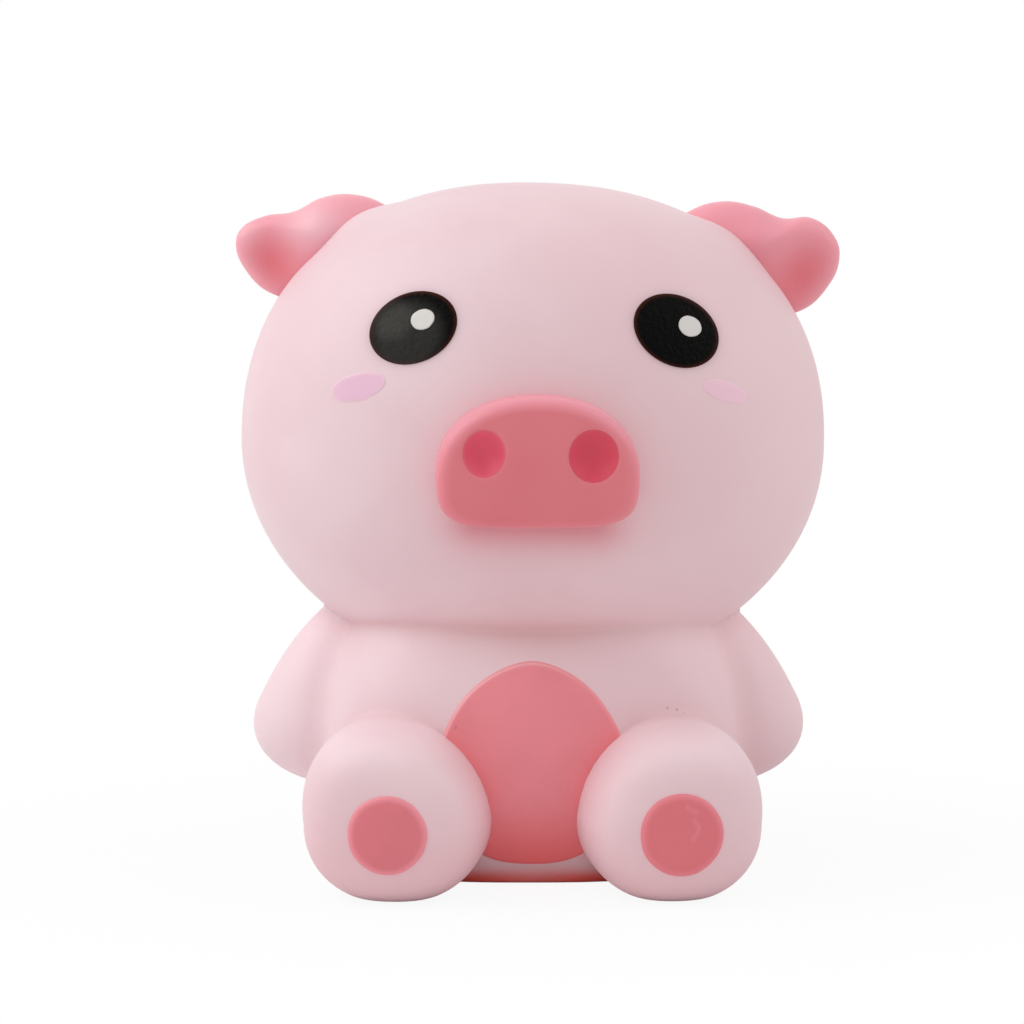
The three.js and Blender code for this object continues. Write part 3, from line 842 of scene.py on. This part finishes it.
# reach out to the tip, then the rise of the lobe, the dip and the tip, and the drop of the foot
ears = (1, "left", 15.2, 8.05, 5.55, 5.65, 9.7), (-1, "right", 14.8, 7.8, 4.75, 3.9, 8.8)
for side, name, reach, lobe_rise, dip_rise, tip_rise, foot_drop in ears:
    edge_x, edge_z = ear_outline(reach, lobe_rise, dip_rise, tip_rise, foot_drop)
    edge_angle = np.arctan2(edge_z, edge_x)
    order = np.argsort(edge_angle)
    ear_mesh = ball(f"moulded_{name}_ear", 6)
    unit = points_of(ear_mesh)
    around = np.arctan2(unit[:, 2], side * unit[:, 0])
    radius = np.interp(around, edge_angle[order], np.hypot(edge_x, edge_z)[order], period=2 * np.pi)
    spread = np.hypot(unit[:, 0], unit[:, 2]) ** (2 / ear_fullness)
    x = spread * radius * np.cos(around)
    z = spread * radius * np.sin(around)
    swell = np.abs(unit[:, 1]) ** (2 / ear_fullness)
    # the thumb dent runs from near the tip down to the foot, and the flap bulges above it
    dent_x = x - 0.58 * reach
    dent_z = z + 0.36 * foot_drop
    dent = np.exp(-(((dent_x * 0.8 - dent_z * 0.6) / 4.3) ** 2) - ((dent_x * 0.6 + dent_z * 0.8) / 6.3) ** 2)
    bulge = np.exp(-(((x - 2) / 4.5) ** 2) - ((z - 2.6) / 3.6) ** 2)
    front = -swell * ear_thickness / 2 + (ear_dent * dent - ear_bulge * bulge) * swell
    y = np.where(unit[:, 1] < 0, front, swell * ear_thickness / 2)
    place = in_toy(head_place, side * (ear_seat[0] + x), ear_set_back + y, ear_seat[2] + z)
    move_points(ear_mesh, place * MM)
    in_front = unit[:, 1] < 0
    note(ear_mesh, "dent", dent ** (1.35 if side < 0 else 0.85) * in_front)
    # painted highlight: the toy's right ear is painted paler over the bulge and the tip, and both ears along
    # the lower edge, where they catch the light
    thin = bulge**0.7 * 0.85 + 0.6 * np.exp(-(((x - 12.8) / 2.4) ** 2) - ((z - 1.2) / 2.8) ** 2)
    lower_edge = 0.45 * np.clip((spread - 0.7) / 0.3, 0, 1) * np.clip(0.3 - z / 6, 0, 1)
    note(ear_mesh, "bulge", np.maximum(thin * (side < 0), lower_edge) * in_front)
    # painted shade: the coral is painted deeper where the ear meets the head
    note(ear_mesh, "root", 0.2 * np.exp(-head.clearance(place).clip(0) / 0.9))
    ear_mesh.shade_smooth()
    dress(ear_mesh, coral_finish, f"{name}_ear")


# The tail. A short corkscrew of foam rooted in the back, sprayed coral, that thins to a round tip.
tail_radius = 3.3
tail_thickness = 5
tail_tip_thickness = 3
tail_turns = 1.2
tail_pitch = 7
tail_height = 17.4
tail_steps = 96
tail_sink = 2.5  # how deep in the back it starts
tail_tip = 0.075  # its tip is rounded over this share of a turn
tail_root = Vector((0, body_depth / 2 - tail_sink, tail_height))
tail = bmesh.new()
bmesh.ops.create_circle(tail, cap_ends=True, segments=24, radius=tail_thickness / 2)
upright = placed(*tail_root) @ placed(0, 0, tail_radius) @ turned(90, "Y")
bmesh.ops.transform(tail, matrix=upright, verts=tail.verts)
bmesh.ops.spin(
    tail,
    geom=tail.faces[:],
    cent=tail_root,
    axis=(0, 1, 0),
    dvec=(0, tail_pitch * tail_turns / tail_steps, 0),
    angle=radians(360 * tail_turns),
    steps=tail_steps,
)
bmesh.ops.recalc_face_normals(tail, faces=tail.faces)
tail_mesh = mesh_of("moulded_tail", tail)
# each ring is drawn in towards its own middle, to thin the tail and round its tip
x, y, z = (points_of(tail_mesh) - np.array(tail_root)).T
angle = np.arctan2(x, z) / (2 * np.pi)
turns = angle + np.round(y / tail_pitch - angle)
aside = tail_radius * np.sin(2 * np.pi * turns)
up = tail_radius * np.cos(2 * np.pi * turns)
middles = np.stack([aside, tail_pitch * turns, up], axis=1)
slim = 1 + (tail_tip_thickness / tail_thickness - 1) * turns / tail_turns
to_tip = np.clip((turns - tail_turns) / tail_tip + 1, 0, 0.999)
slim = (slim * np.sqrt(1 - to_tip**2))[:, None]
thinned = middles + (np.stack([x, y, z], axis=1) - middles) * slim
move_points(tail_mesh, (thinned + np.array(tail_root)) * MM)
tail_mesh.shade_smooth()
dress(tail_mesh, coral_finish, "tail")


# The studio. A white sweep, two panels high on the picture's left and one high on its right. The floor shows
# white to the camera and keeps a trace of the toy's shadow.
sweep = bmesh.new()
bmesh.ops.create_grid(sweep, x_segments=1, y_segments=1, size=3)
floor = object_of("studio_floor", mesh_of("studio_floor", sweep))
floor_finish = Finish("white sweep", Roughness=0.9)
paper = floor_finish.mix(floor_finish.noise(4), colour(242, 242, 242), colour(246, 246, 246))
floor_finish.feed("Base Color", paper)
glow = floor_finish.node("ShaderNodeEmission", {}, {"Color": (1, 1, 1, 1), "Strength": 1.0})
seen = floor_finish.node("ShaderNodeLightPath", {}, {}, "Is Camera Ray")
away = floor_finish.node("ShaderNodeVectorMath", {"operation": "LENGTH"}, {0: floor_finish.place}, "Value")
shader = Wire(floor_finish, floor_finish.shader.outputs[0])
share = seen * (0.92 + away.between(0.05, 0.14) * 0.08)
shown = floor_finish.node("ShaderNodeMixShader", {}, {0: share, 1: shader, 2: glow})
floor_finish.join(shown, floor_finish.tree.nodes["Material Output"].inputs["Surface"])
floor.data.materials.append(floor_finish.material)


panel_size = 0.5
panels_face = Vector((0, 0, 0.06))
panels = {
    "left panel": ((-0.55, 0.03, 0.57), 1.75),
    "front left panel": ((-0.48, -0.27, 0.56), 0.82),
    "right panel": ((0.58, -0.03, 0.52), 1.15),
}
for name, (place, power) in panels.items():
    lamp = bpy.data.lights.new(name, "AREA")
    lamp.size = panel_size
    lamp.energy = power
    holder = object_of(name, lamp)
    holder.location = place
    holder.rotation_euler = (panels_face - Vector(place)).to_track_quat("-Z", "Y").to_euler()

world = bpy.data.worlds.new("white studio")
bpy.context.scene.world = world
world.use_nodes = True
sky = Wiring(world.node_tree)
seen = sky.node("ShaderNodeLightPath", {}, {}, "Is Camera Ray")
for ray in "Is Glossy Ray", "Is Transmission Ray":
    seen = seen.math("MAXIMUM", seen, sky.node("ShaderNodeLightPath", {}, {}, ray))
soft = sky.node("ShaderNodeBackground", {}, {"Color": (1, 1, 1, 1), "Strength": 0.58})
white = sky.node("ShaderNodeBackground", {}, {"Color": (1, 1, 1, 1), "Strength": 1.0})
shown = sky.node("ShaderNodeMixShader", {}, {0: seen, 1: soft, 2: white})
sky.join(shown, world.node_tree.nodes["World Output"].inputs["Surface"])

# The camera stands 900 mm in front of the toy, 7 degrees above level, a hair to its right.
camera_turn = -0.6
camera_height = 7
camera_distance = 900
aim = Vector((0, 0, 52.4))
picture_scale = 6.12  # pixels of a 1024 picture for a millimetre at the aim
aim_pixel = (530.5, 538.2)
camera = object_of("camera", bpy.data.cameras.new("camera"))
camera.data.sensor_width = 36
camera.data.lens = camera.data.sensor_width * picture_scale * camera_distance / 1024
turn = turned(camera_turn, "Z") @ turned(90 - camera_height, "X")
offset = Vector(((512 - aim_pixel[0]) / picture_scale, (aim_pixel[1] - 512) / picture_scale, camera_distance))
camera.matrix_world = placed(*(MM * (aim + turn.to_3x3() @ offset))) @ turn
bpy.context.scene.camera = camera
bpy.context.scene.view_settings.view_transform = "Standard"
